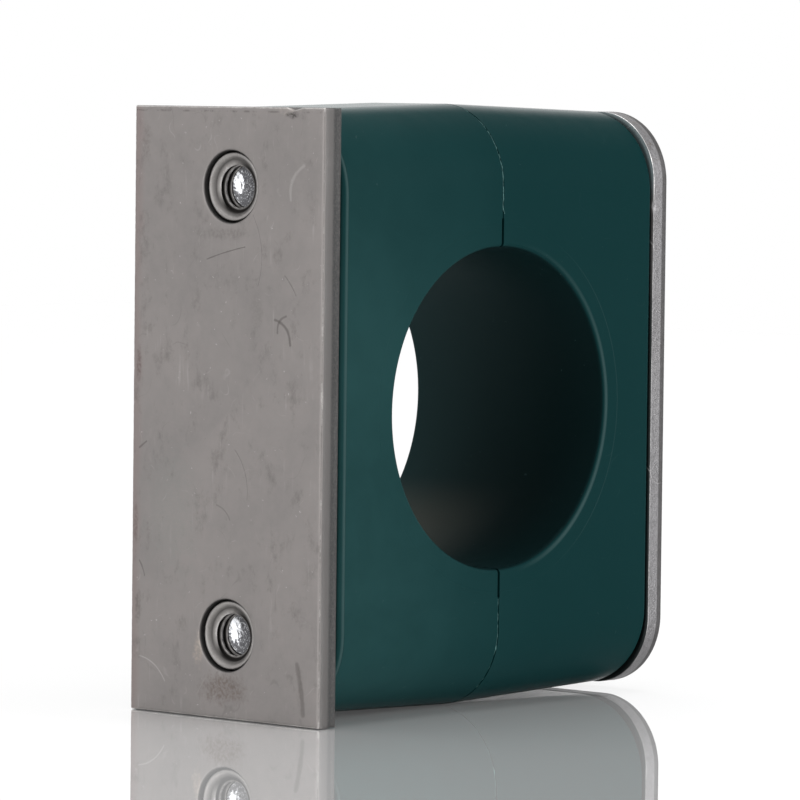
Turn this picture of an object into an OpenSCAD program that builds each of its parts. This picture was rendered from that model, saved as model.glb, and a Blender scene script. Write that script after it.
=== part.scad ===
// Two-bolt tube clamp standing on its short end: a steel weld plate with two weld nuts, two
// identical moulded halves round the bore, a steel cover plate and two hexagon bolts.
// X runs from the weld plate to the bolt heads, Y along the tube, Z up the clamp's length.
// The origin is on the welding face, midway between the bolts. Sizes are in millimetres.

/* [Tube and bolts] */
// Outer diameter of the tube that the bore holds
tube_d = 38; // [25:0.5:38.5]
// Distance between the axes of the two bolts
bolt_spacing = 52; // [51:0.5:60]
// Nominal thread diameter of the bolts
bolt_d = 6; // [5:0.5:7]
// Metal between the thread and a flat of the hexagon, on heads and nuts
hex_wall = 2; // [1.8:0.1:2.5]
// Depth of each bolt tip behind the welding face
tip_depth = 2.5; // [1.5:0.1:4]
// Height of a bolt head
head_h = 4; // [3:0.1:5]
// Height of the round washer face under a bolt head
washer_face_h = 0.3; // [0.15:0.05:0.5]
// Length of the chamfer at a bolt tip
tip_chamfer = 0.6; // [0.3:0.1:1]
// Rise of the thirty degree chamfer on the corners of heads and nuts
hex_chamfer = 0.4; // [0.2:0.05:0.6]

/* [Clamp halves] */
// Thickness of one half, from the parting face to its plate
half_h = 28; // [24:0.5:36]
// Width of the halves and of both plates, along the tube
body_w = 30; // [28:0.5:40]
// Material beyond each bolt axis, to the end of the halves at the parting face
end_margin = 9.8; // [9:0.1:14]
// Draft of both ends in degrees, which makes the halves longest at the parting face
end_draft = 1.6; // [0.4:0.1:2.5]
// Radius of the four upright corners of the halves
corner_r = 9.7; // [6:0.1:12]
// Rounding of the rim next to each plate
rim_r = 0.8; // [0.3:0.1:1.5]
// Width of the fine step under the rounded rim
rim_step = 0.03; // [0.02:0.01:0.1]
// Rounding where the bore meets the side faces
lip_r = 0.6; // [0.3:0.1:1.2]
// Width and height of the small step round the outline of the parting faces
parting_step = 0.12; // [0.05:0.01:0.3]
// Reach of the relieved strip beside the bore, past the lip
relief_l = 2.8; // [1:0.1:4]
// Depth of the relieved strip in each parting face
relief_d = 0.2; // [0.1:0.05:0.5]

/* [Weld nuts] */
// Height of a nut above the weld plate
nut_h = 5; // [4:0.1:6]
// Wall of the round collar that sits in the plate hole
collar_wall = 1; // [0.7:0.1:1.2]
// Depth of the collar's rim behind the welding face
collar_recess = 0.5; // [0.2:0.1:1.5]
// Flat rim left on the collar, outside its countersink
collar_land = 0.2; // [0.1:0.05:0.4]
// Depth of the countersink in the collar
collar_sink = 0.6; // [0.3:0.1:1.2]
// Depth of the countersink at the top of the nut
top_sink = 0.4; // [0.2:0.1:0.7]

/* [Plates] */
// Thickness of the weld plate and of the cover plate
plate_t = 3; // [2.5:0.5:5]
// How much shorter the weld plate is than the halves at their parting face
strip_short = 0.6; // [0:0.1:4]
// How much shorter the cover plate is than the halves at their parting face
cover_short = 1.6; // [0:0.1:4]
// Corner radius of the cover plate
cover_corner_r = 8.5; // [5:0.5:12]
// Rolled-over edge on the outer face of the cover plate
cover_edge_r = 0.6; // [0.2:0.05:1]
// Broken edge on the inner face of the cover plate
cover_burr_bevel = 0.1; // [0.05:0.05:0.3]
// Bevel along the four long edges of the weld plate
strip_bevel = 0.25; // [0.1:0.05:0.6]
// How far the weld plate sits off the bolts towards the far side
strip_shift_y = 0.4; // [-0.6:0.1:0.6]
// How far the weld plate sits below the bolts' midpoint
strip_drop = 0.25; // [-0.5:0.05:0.5]

/* [Clearances] */
// Gap all round a bolt in the halves and in the cover plate
bolt_clearance = 0.4; // [0.3:0.05:0.8]
// Gap all round a bolt thread in its nut
thread_clearance = 0.05; // [0.02:0.01:0.1]
// Gap all round a nut collar in the plate hole
collar_clearance = 0.2; // [0.1:0.05:0.3]
// Gap past the corners and the top of a nut in its pocket
pocket_clearance = 0.45; // [0.3:0.05:0.8]

/* [Hidden] */
// Facets of a full circle
$fn = 96;
// Overrun of a cut past the surface it opens
over = 1;
// Angle of the chamfer on heads and nuts
chamfer_angle = 30;
// How far the flat walls of the halves lie inside the tangents of their round corners
wall_inset = 0.01;
// Length of the halves at the parting face
body_l = bolt_spacing + 2 * end_margin;
// Length of the weld plate
strip_l = body_l - strip_short;
// Length of the cover plate
cover_l = body_l - cover_short;
// Radius of the bore
bore_r = tube_d / 2;
// Distance across the flats of heads and nuts
hex_af = bolt_d + 2 * hex_wall;
// Distance across the corners of heads and nuts
hex_ac = hex_af / cos(30);
// Diameter of a nut collar
collar_d = bolt_d + 2 * collar_wall;
// Diameter of a bolt hole in the halves and in the cover plate
hole_d = bolt_d + 2 * bolt_clearance;
// Diameter of the plate hole round a collar
plate_hole_d = collar_d + 2 * collar_clearance;
// Diameter of the pocket round a nut
pocket_d = hex_ac + 2 * pocket_clearance;
// Depth of the pocket in the outer face of a half
pocket_h = nut_h + pocket_clearance;
// X of the parting plane
parting_x = plate_t + half_h;
// X of the face that the bolt heads sit on
seat_x = plate_t + 2 * half_h + plate_t;
// Every separate piece
// Piece to show

// Profile from the axis out to half width w: rounded at the top edge, bevelled at the bottom
module edge_profile(w, h, top_r, bevel) {
    polygon([
        [0, 0], [w - bevel, 0], [w, bevel], [w, h - top_r],
        [w - top_r, h - top_r], [w - top_r, h], [0, h]
    ]);
    translate([w - top_r, h - top_r]) circle(top_r);
}

// The same profile on both sides of the axis
module full_profile(w, h, top_r, bevel) {
    edge_profile(w, h, top_r, bevel);
    mirror([1, 0]) edge_profile(w, h, top_r, bevel);
}

// Block of length l and width w with round corners r, standing on its bevelled face
module soft_block(l, w, r, h, top_r, bevel) {
    for (sx = [-1, 1], sy = [-1, 1])
        translate([sx * (l / 2 - r), sy * (w / 2 - r), 0])
            rotate_extrude() edge_profile(r, h, top_r, bevel);
    rotate([90, 0, 90])
        linear_extrude(l - 2 * r, center = true) full_profile(w / 2, h, top_r, bevel);
    rotate([90, 0, 0])
        linear_extrude(w - 2 * r, center = true) full_profile(l / 2, h, top_r, bevel);
}

// Block of height h whose two ends lean in towards the top, between leaning round corners r
module leaning_block(l, w, r, h, angle) {
    lean = h * tan(angle);
    axis_l = l / 2 - r / cos(angle);
    end_l = l / 2 - wall_inset;
    rotate([90, 0, 0]) {
        linear_extrude(w - 2 * wall_inset, center = true)
            polygon([[-axis_l, 0], [axis_l, 0], [axis_l - lean, h], [lean - axis_l, h]]);
        linear_extrude(w - 2 * r, center = true)
            polygon([[-end_l, 0], [end_l, 0], [end_l - lean, h], [lean - end_l, h]]);
    }
    intersection() {
        translate([-l, -w, 0]) cube([2 * l, 2 * w, h]);
        for (sx = [-1, 1], sy = [-1, 1])
            translate([sx * axis_l, sy * (w / 2 - r), 0])
                rotate([0, -sx * angle, 0])
                    translate([0, 0, -over]) cylinder(h = h + 2 * over, r = r);
    }
}

// The space of the tube: a cylinder along Y that opens in a rounded lip at both side faces
module bore_space() {
    rotate([90, 0, 0])
        rotate_extrude()
            difference() {
                translate([0, -body_w / 2 - over]) square([bore_r + lip_r, body_w + 2 * over]);
                translate([bore_r, lip_r - body_w / 2]) square([lip_r + over, body_w - 2 * lip_r]);
                for (s = [-1, 1])
                    translate([bore_r + lip_r, s * (body_w / 2 - lip_r)]) circle(lip_r);
            }
}

// Solid half: a stepped parting edge, leaning ends and a rounded rim
module drafted_body() {
    wall_h = half_h - rim_r - parting_step;
    rim_l = body_l - 2 * wall_h * tan(end_draft) - 2 * rim_step;
    foot_l = body_l - 2 * parting_step;
    foot_w = body_w - 2 * parting_step;
    foot_r = corner_r - parting_step;
    for (sx = [-1, 1], sy = [-1, 1])
        translate([sx * (foot_l / 2 - foot_r), sy * (foot_w / 2 - foot_r), 0])
            cylinder(h = 2 * parting_step, r = foot_r);
    translate([-foot_l / 2, foot_r - foot_w / 2, 0])
        cube([foot_l, foot_w - 2 * foot_r, 2 * parting_step]);
    translate([foot_r - foot_l / 2, -foot_w / 2, 0])
        cube([foot_l - 2 * foot_r, foot_w, 2 * parting_step]);
    translate([0, 0, parting_step])
        leaning_block(body_l, body_w, corner_r, wall_h, end_draft);
    translate([0, 0, over])
        soft_block(rim_l, body_w - 2 * rim_step, corner_r - rim_step, half_h - over, rim_r,
            parting_step);
}

// One moulded half with its parting face down and its plate face up
module clamp_half() {
    relief_reach = 2 * (bore_r + lip_r + relief_l);
    difference() {
        drafted_body();
        bore_space();
        translate([-relief_reach / 2, -body_w / 2 - over, -over])
            cube([relief_reach, body_w + 2 * over, over + relief_d]);
        for (s = [-1, 1])
            translate([s * bolt_spacing / 2, 0, 0]) {
                translate([0, 0, -over]) cylinder(h = half_h + 2 * over, d = hole_d);
                translate([0, 0, half_h - pocket_h]) cylinder(h = pocket_h + over, d = pocket_d);
            }
    }
}

// Hexagon of height h whose corners are chamfered at the top
module chamfered_hex(h) {
    flat_r = hex_ac / 2 - hex_chamfer / tan(chamfer_angle);
    intersection() {
        cylinder(h = h, d = hex_ac, $fn = 6);
        union() {
            cylinder(h = h - hex_chamfer, d = hex_ac + over);
            translate([0, 0, h - hex_chamfer])
                cylinder(h = hex_chamfer, r1 = hex_ac / 2, r2 = flat_r);
        }
    }
}

// Weld nut standing on its flange face, with the collar pointing down
module weld_nut() {
    collar_h = plate_t - collar_recess;
    thread_r = bolt_d / 2 + thread_clearance;
    difference() {
        union() {
            chamfered_hex(nut_h);
            translate([0, 0, -collar_h]) cylinder(h = collar_h + over, d = collar_d);
        }
        translate([0, 0, -collar_h - over])
            cylinder(h = collar_h + nut_h + 2 * over, r = thread_r);
        translate([0, 0, -collar_h])
            cylinder(h = collar_sink, r1 = collar_d / 2 - collar_land, r2 = thread_r);
        translate([0, 0, nut_h - top_sink])
            cylinder(h = top_sink, r1 = thread_r, r2 = thread_r + top_sink);
    }
}

// Hexagon bolt standing on its tip
module hex_bolt() {
    shank_l = seat_x - tip_depth;
    cylinder(h = tip_chamfer, r1 = bolt_d / 2 - tip_chamfer, r2 = bolt_d / 2);
    translate([0, 0, tip_chamfer]) cylinder(h = shank_l - tip_chamfer, d = bolt_d);
    translate([0, 0, shank_l]) cylinder(h = washer_face_h, d = hex_af - 2 * hex_chamfer);
    translate([0, 0, shank_l + washer_face_h]) chamfered_hex(head_h - washer_face_h);
}

// Puts a part that stands along Z on the bolt axis at height z, pointing along X from x
module on_axis(x, z) {
    translate([x, 0, z]) rotate([0, 90, 0]) children();
}

// Flat strip with square ends and two punched holes, its outer face is welded down
module weld_plate() {
    color([0.52, 0.5, 0.49])
        difference() {
            translate([0, strip_shift_y, -strip_drop])
                linear_extrude(strip_l, center = true)
                    polygon([
                        [0, strip_bevel - body_w / 2],
                        [strip_bevel, -body_w / 2],
                        [plate_t - strip_bevel, -body_w / 2],
                        [plate_t, strip_bevel - body_w / 2],
                        [plate_t, body_w / 2 - strip_bevel],
                        [plate_t - strip_bevel, body_w / 2],
                        [strip_bevel, body_w / 2],
                        [0, body_w / 2 - strip_bevel]
                    ]);
            for (s = [-1, 1])
                on_axis(-over, s * bolt_spacing / 2)
                    cylinder(h = plate_t + 2 * over, d = plate_hole_d);
        }
}

// Nut welded behind the upper hole of the weld plate
module weld_nut_upper() {
    color([0.5, 0.49, 0.47]) on_axis(plate_t, bolt_spacing / 2) weld_nut();
}

// Nut welded behind the lower hole of the weld plate
module weld_nut_lower() {
    color([0.5, 0.49, 0.47]) on_axis(plate_t, -bolt_spacing / 2) weld_nut();
}

// Half that sits on the weld plate
module base_half() {
    color([0.09, 0.24, 0.23]) translate([parting_x, 0, 0]) rotate([0, -90, 0]) clamp_half();
}

// Half under the cover plate, turned round
module outer_half() {
    color([0.09, 0.24, 0.23]) translate([parting_x, 0, 0]) rotate([0, 90, 0]) clamp_half();
}

// Plate that spreads the pull of the bolt heads, with its rolled edge outside
module cover_plate() {
    color([0.55, 0.54, 0.53])
        difference() {
            translate([seat_x - plate_t, 0, 0])
                rotate([0, 90, 0])
                    soft_block(cover_l, body_w, cover_corner_r, plate_t, cover_edge_r,
                        cover_burr_bevel);
            for (s = [-1, 1])
                on_axis(seat_x - plate_t - over, s * bolt_spacing / 2)
                    cylinder(h = plate_t + 2 * over, d = hole_d);
        }
}

// Bolt in the upper nut
module bolt_upper() {
    color([0.75, 0.76, 0.78]) on_axis(tip_depth, bolt_spacing / 2) hex_bolt();
}

// Bolt in the lower nut
module bolt_lower() {
    color([0.75, 0.76, 0.78]) on_axis(tip_depth, -bolt_spacing / 2) hex_bolt();
}

weld_plate();
weld_nut_upper();
weld_nut_lower();
base_half();
outer_half();
cover_plate();
bolt_upper();
bolt_lower();
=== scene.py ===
"""Looks of a two-bolt tube clamp: weld plate, weld nuts, moulded halves, cover plate and bolts."""
from __future__ import annotations

import logging
import math
from dataclasses import dataclass
from enum import Enum
from functools import reduce

import bmesh
import bpy
from mathutils import Matrix, Vector, noise
from mathutils.geometry import delaunay_2d_cdt


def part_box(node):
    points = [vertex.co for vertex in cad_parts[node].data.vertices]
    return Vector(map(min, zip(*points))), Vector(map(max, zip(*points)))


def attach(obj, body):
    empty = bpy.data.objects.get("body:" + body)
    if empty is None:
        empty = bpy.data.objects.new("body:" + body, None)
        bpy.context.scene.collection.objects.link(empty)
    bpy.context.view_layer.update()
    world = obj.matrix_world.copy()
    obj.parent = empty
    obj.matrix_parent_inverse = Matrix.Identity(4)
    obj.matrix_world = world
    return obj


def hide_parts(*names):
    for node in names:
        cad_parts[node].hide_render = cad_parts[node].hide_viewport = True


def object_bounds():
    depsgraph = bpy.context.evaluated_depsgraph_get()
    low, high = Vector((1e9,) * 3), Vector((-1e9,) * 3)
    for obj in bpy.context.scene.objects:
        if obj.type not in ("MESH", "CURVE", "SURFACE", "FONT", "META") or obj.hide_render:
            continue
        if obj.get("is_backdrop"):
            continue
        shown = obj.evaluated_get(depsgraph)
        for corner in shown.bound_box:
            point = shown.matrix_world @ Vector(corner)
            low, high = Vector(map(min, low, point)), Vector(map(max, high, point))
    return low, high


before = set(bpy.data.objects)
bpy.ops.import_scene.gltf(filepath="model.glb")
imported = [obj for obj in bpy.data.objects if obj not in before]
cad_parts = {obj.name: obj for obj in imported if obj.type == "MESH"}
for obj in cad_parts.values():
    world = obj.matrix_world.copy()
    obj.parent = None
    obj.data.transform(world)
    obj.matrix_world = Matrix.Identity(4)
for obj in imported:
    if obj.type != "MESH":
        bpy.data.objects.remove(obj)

LOG = logging.getLogger("tube_clamp")
MM = 0.001
WEAR = "wear"
RECESS = "recess"
IN_PLANE = (0.0, 1.0, 1.0)
Triple = tuple[float, float, float]
Pair = tuple[float, float]
Socket = bpy.types.NodeSocket
Tree = bpy.types.NodeTree
Material = bpy.types.Material
Piece = bpy.types.Object


class Body(Enum):
    """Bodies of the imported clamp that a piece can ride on."""

    BASE = "base"
    JAW = "jaw"
    UPPER_BOLT = "upper_bolt"
    LOWER_BOLT = "lower_bolt"


class RingShape(Enum):
    """Outline of one ring of a turned or hexagonal piece."""

    ROUND = "round"
    HEXAGON = "hexagon"
    THREAD = "thread"


class Graph:
    """Short calls for building one shader or group tree."""

    def __init__(self, tree: Tree) -> None:
        """Keep the tree that the nodes go into."""
        self.tree = tree

    def add(self, kind: str, inputs: dict | None = None, **props: object) -> bpy.types.Node:
        """Make a node, set its properties and fill its inputs.

        Args:
            kind: Node type name without the ShaderNode prefix.
            inputs: Values or sockets by input name or index.
            props: Properties of the node.

        Returns:
            The new node.
        """
        node = self.tree.nodes.new("ShaderNode" + kind)
        for key, value in props.items():
            setattr(node, key, value)
        for key, value in (inputs or {}).items():
            self.feed(node.inputs[key], value)
        return node

    def feed(self, socket: Socket, value: object) -> None:
        """Link a socket to an input, or set the input's value.

        Args:
            socket: Input socket.
            value: Output socket, number or sequence.
        """
        if isinstance(value, Socket):
            self.tree.links.new(value, socket)
        elif isinstance(value, (tuple, list)) and len(value) == 3 and socket.type == "RGBA":
            socket.default_value = (*value, 1.0)
        else:
            socket.default_value = value

    def math(self, operation: str, *values: object, clamp: bool = False) -> Socket:
        """Return the value of a Math node, clamped to 0 to 1 on request."""
        return self.add("Math", dict(enumerate(values)), operation=operation,
                        use_clamp=clamp).outputs[0]

    def mul(self, *values: object) -> object:
        """Return the product of the values."""
        return reduce(lambda a, b: self.math("MULTIPLY", a, b), values)

    def plus(self, *values: object) -> object:
        """Return the sum of the values."""
        return reduce(lambda a, b: self.math("ADD", a, b), values)

    def less(self, a: object, b: object, clamp: bool = False) -> Socket:
        """Return the first value less the second."""
        return self.math("SUBTRACT", a, b, clamp=clamp)

    def absolute(self, value: object) -> Socket:
        """Return a value without its sign."""
        return self.math("ABSOLUTE", value)

    def vector(self, operation: str, a: object, b: object = (0.0, 0.0, 0.0)) -> Socket:
        """Return the result of a Vector Math node, one value for lengths and dot products."""
        outputs = self.add("VectorMath", {0: a, 1: b}, operation=operation).outputs
        return outputs["Value" if operation in ("DOT_PRODUCT", "DISTANCE", "LENGTH") else "Vector"]

    def scaled(self, vector: object, scale: object) -> Socket:
        """Return a vector times a number."""
        return self.add("VectorMath", {0: vector, "Scale": scale}, operation="SCALE").outputs[0]

    def step(self, value: object, start: float, end: float,
             low: float = 0.0, high: float = 1.0) -> Socket:
        """Return a smooth step from low to high while the value goes from start to end."""
        return self.add("MapRange", {"Value": value, "From Min": start, "From Max": end,
                                     "To Min": low, "To Max": high},
                        interpolation_type="SMOOTHSTEP").outputs["Result"]

    def near(self, value: object, centre: float, outer: float, inner: float) -> Socket:
        """Return 1 within inner of a centre, falling smoothly to 0 at outer."""
        return self.step(self.absolute(self.less(value, centre)), outer, inner)

    def tint(self, colour: object, tone: object, *shares: object) -> Socket:
        """Return a colour blended towards a tone.

        Args:
            colour: First colour.
            tone: Second colour.
            shares: Their product is the share of the tone.

        Returns:
            The blended colour.
        """
        node = self.add("Mix", data_type="RGBA", blend_type="MIX", clamp_factor=True)
        for index, value in ((0, self.mul(*shares)), (6, colour), (7, tone)):
            self.feed(node.inputs[index], value)
        return node.outputs[2]

    def noise(self, vector: object, scale: float, detail: float = 3.0,
              roughness: float = 0.55, distortion: float = 0.0) -> Socket:
        """Return the value of a noise texture with so many features per metre."""
        return self.add("TexNoise", {"Vector": vector, "Scale": scale, "Detail": detail,
                                     "Roughness": roughness,
                                     "Distortion": distortion}).outputs["Fac"]

    def place(self) -> Socket:
        """Return the object coordinates, which are metres in the clamp's own frame."""
        return self.add("TexCoord").outputs["Object"]

    def axis(self, vector: object, name: str) -> Socket:
        """Return one component of a vector, named X, Y or Z."""
        return self.add("SeparateXYZ", {0: vector}).outputs[name]

    def painted(self, name: str) -> Socket:
        """Return the amount painted on the mesh under a name."""
        return self.add("Attribute", attribute_name=name).outputs["Fac"]

    def use(self, group: Tree, place: object, **inputs: object) -> list[Socket]:
        """Place a node group with its own values.

        Args:
            group: The node group.
            place: Where its texture is read.
            inputs: Values or sockets by input name.

        Returns:
            The group's outputs.
        """
        node = self.tree.nodes.new("ShaderNodeGroup")
        node.node_tree = group
        for key, value in {"Place": place, **inputs}.items():
            self.feed(node.inputs[key], value)
        return list(node.outputs)


def new_group(name: str, inputs: dict[str, float | None],
              outputs: tuple[str, ...] = ("Mask",)) -> tuple[Tree, Graph, object, object]:
    """Make an empty node group with named sockets.

    Args:
        name: Name of the group.
        inputs: Default by input name, None for a vector.
        outputs: Names of the outputs, which are all values.

    Returns:
        The group, its graph, its input sockets and its output sockets.
    """
    tree = bpy.data.node_groups.new(name, "ShaderNodeTree")
    for key, default in inputs.items():
        kind = "NodeSocketVector" if default is None else "NodeSocketFloat"
        socket = tree.interface.new_socket(name=key, in_out="INPUT", socket_type=kind)
        if default is not None:
            socket.default_value = default
    for key in outputs:
        tree.interface.new_socket(name=key, in_out="OUTPUT", socket_type="NodeSocketFloat")
    start, end = tree.nodes.new("NodeGroupInput"), tree.nodes.new("NodeGroupOutput")
    return tree, Graph(tree), start.outputs, end.inputs


class Effects:
    """The surface effects that several finishes share, each built once."""

    def __init__(self) -> None:
        """Build every effect."""
        self.mottle = self._mottle()
        self.hairlines = self._hairlines()
        self.specks = self._specks()
        self.mark = self._mark()
        self.blot = self._blot()
        self.grain = self._grain()
        self.scuffs = self._scuffs()

    def _mottle(self) -> Tree:
        """Build cloudy patches: a broad and a fine value around one half.

        Returns:
            The node group.
        """
        tree, g, start, end = new_group("Mottle", {"Place": None, "Scale": 100.0},
                                        ("Broad", "Fine"))
        scaled = g.scaled(start["Place"], start["Scale"])
        g.feed(end["Broad"], g.step(g.noise(scaled, 1.0, 4.0, 0.6, 0.3), 0.3, 0.7))
        g.feed(end["Fine"], g.step(g.noise(scaled, 7.0, 6.0, 0.65), 0.28, 0.72))
        return tree

    def _hairlines(self) -> Tree:
        """Build thin wandering scratches that come and go.

        Returns:
            The node group.
        """
        tree, g, start, end = new_group(
            "Hairlines", {"Place": None, "Scale": 60.0, "Width": 0.006, "Cover": 0.5})
        scaled = g.scaled(start["Place"], start["Scale"])
        off = g.absolute(g.less(g.noise(scaled, 1.0, 1.0, 0.4), 0.5))
        line = g.less(1.0, g.math("DIVIDE", off, start["Width"]), clamp=True)
        gate = g.noise(g.vector("ADD", scaled, (7.3, 2.9, 5.1)), 2.1, 2.0, 0.5)
        above = g.less(gate, g.less(1.0, start["Cover"]))
        g.feed(end["Mask"], g.mul(line, g.math("MULTIPLY", above, 9.0, clamp=True)))
        return tree

    def _specks(self) -> Tree:
        """Build scattered small dots of uneven size.

        Returns:
            The node group.
        """
        tree, g, start, end = new_group(
            "Specks", {"Place": None, "Scale": 400.0, "Size": 0.2, "Cover": 0.2})
        place, scale = start["Place"], start["Scale"]
        swirl = g.add("TexNoise", {"Vector": place, "Detail": 2.0,
                                   "Scale": g.mul(scale, 2.6)}).outputs["Color"]
        shift = g.scaled(g.vector("SUBTRACT", swirl, (0.5, 0.5, 0.5)),
                         g.math("DIVIDE", 0.9, scale))
        cell = g.add("TexVoronoi", {"Vector": g.vector("ADD", place, shift), "Scale": scale,
                                    "Randomness": 1.0}).outputs
        chosen = g.math("LESS_THAN", g.axis(cell["Color"], "X"), start["Cover"])
        size = g.mul(start["Size"], g.plus(0.4, g.axis(cell["Color"], "Y")))
        inside = g.less(1.0, g.math("DIVIDE", cell["Distance"], size))
        g.feed(end["Mask"], g.mul(g.math("MULTIPLY", inside, 2.5, clamp=True), chosen))
        return tree

    def _mark(self) -> Tree:
        """Build one bowed scratch between two points of the Y-Z plane.

        Returns:
            The node group.
        """
        tree, g, start, end = new_group("Mark", {"Place": None, "Start": None, "End": None,
                                                 "Bow": 0.0, "Width": 0.0002})
        flat = g.vector("MULTIPLY", start["Place"], IN_PLANE)
        wobble = g.noise(flat, 900.0, 2.0)
        along = g.vector("SUBTRACT", start["End"], start["Start"])
        reach = g.vector("SUBTRACT", flat, start["Start"])
        share = g.math("DIVIDE", g.vector("DOT_PRODUCT", reach, along),
                       g.vector("DOT_PRODUCT", along, along), clamp=True)
        side = g.vector("CROSS_PRODUCT", g.vector("NORMALIZE", along), (1.0, 0.0, 0.0))
        rise = g.mul(share, g.less(1.0, share), 4.0)
        lift = g.scaled(side, g.mul(rise, start["Bow"]))
        away = g.vector("DISTANCE", reach, g.vector("ADD", g.scaled(along, share), lift))
        width = g.mul(start["Width"], g.plus(wobble, 0.3))
        g.feed(end["Mask"], g.less(1.6, g.math("DIVIDE", away, width), clamp=True))
        return tree

    def _blot(self) -> Tree:
        """Build one ragged, dotted oval stain in the Y-Z plane.

        Returns:
            The node group.
        """
        tree, g, start, end = new_group(
            "Blot", {"Place": None, "Centre": None, "Size": None, "Ragged": 0.6})
        flat = g.vector("MULTIPLY", start["Place"], IN_PLANE)
        offset = g.vector("DIVIDE", g.vector("SUBTRACT", flat, start["Centre"]), start["Size"])
        distance = g.vector("LENGTH", g.vector("MULTIPLY", offset, IN_PLANE))
        torn = g.noise(flat, 650.0, 5.0, 0.7)
        edge = g.mul(g.less(torn, 0.5), g.mul(start["Ragged"], 4.0))
        dots = g.step(g.noise(flat, 2400.0, 2.0), 0.40, 0.60, 0.35, 1.0)
        g.feed(end["Mask"], g.mul(g.step(g.plus(distance, edge), 1.15, 0.35), dots))
        return tree

    def _grain(self) -> Tree:
        """Build the height of a fine uneven skin.

        Returns:
            The node group.
        """
        tree, g, start, end = new_group("Grain", {"Place": None, "Scale": 3000.0}, ("Height",))
        scaled = g.scaled(start["Place"], start["Scale"])
        fine = g.noise(scaled, 1.0, 4.0, 0.6)
        broad = g.noise(scaled, 0.16, 2.0, 0.5)
        g.feed(end["Height"], g.plus(g.mul(fine, 0.6), g.mul(broad, 0.4)))
        return tree

    def _scuffs(self) -> Tree:
        """Build short upright rubbing marks in loose patches.

        Returns:
            The node group.
        """
        tree, g, start, end = new_group("Scuffs", {"Place": None, "Scale": 1500.0})
        drawn = g.vector("MULTIPLY", start["Place"], (1.0, 1.0, 0.07))
        lines = g.step(g.noise(g.scaled(drawn, start["Scale"]), 1.0, 3.0, 0.6), 0.56, 0.68)
        patch = g.step(g.noise(start["Place"], 190.0, 3.0), 0.50, 0.66)
        g.feed(end["Mask"], g.mul(lines, patch))
        return tree


class Finish(Graph):
    """A new material with a bare Principled shader."""

    def __init__(self, name: str) -> None:
        """Make the material under a name, with the place that its textures are read at."""
        self.material = bpy.data.materials.new(name)
        self.material.use_nodes = True
        super().__init__(self.material.node_tree)
        self.tree.nodes.clear()
        self.shader = self.add("BsdfPrincipled")
        self.feed(self.add("OutputMaterial").inputs["Surface"], self.shader.outputs[0])
        self.spot = self.place()

    def fill(self, **inputs: object) -> None:
        """Fill the shader's inputs, whose names are written with _ for each space."""
        for key, value in inputs.items():
            self.feed(self.shader.inputs[key.replace("_", " ")], value)

    def bump(self, height: object, strength: float, distance: float) -> None:
        """Let a height move the shader's normal, by a distance in millimetres."""
        node = self.add("Bump", {"Height": height, "Strength": strength,
                                 "Distance": distance * MM})
        self.fill(Normal=node.outputs[0])


def in_plane(pair: Pair, x: float = 0.0) -> Triple:
    """Return a Y-Z pair in millimetres as a point in metres."""
    return x, pair[0] * MM, pair[1] * MM


@dataclass(frozen=True)
class Scratch:
    """One scratch on the outer face of the weld plate, bright where the shade is above 0."""

    start: Pair
    end: Pair
    bow: float
    width: float
    shade: float


@dataclass(frozen=True)
class Stain:
    """One stain on the outer face of the weld plate."""

    centre: Pair
    size: Pair
    colour: Triple
    strength: float


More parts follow.
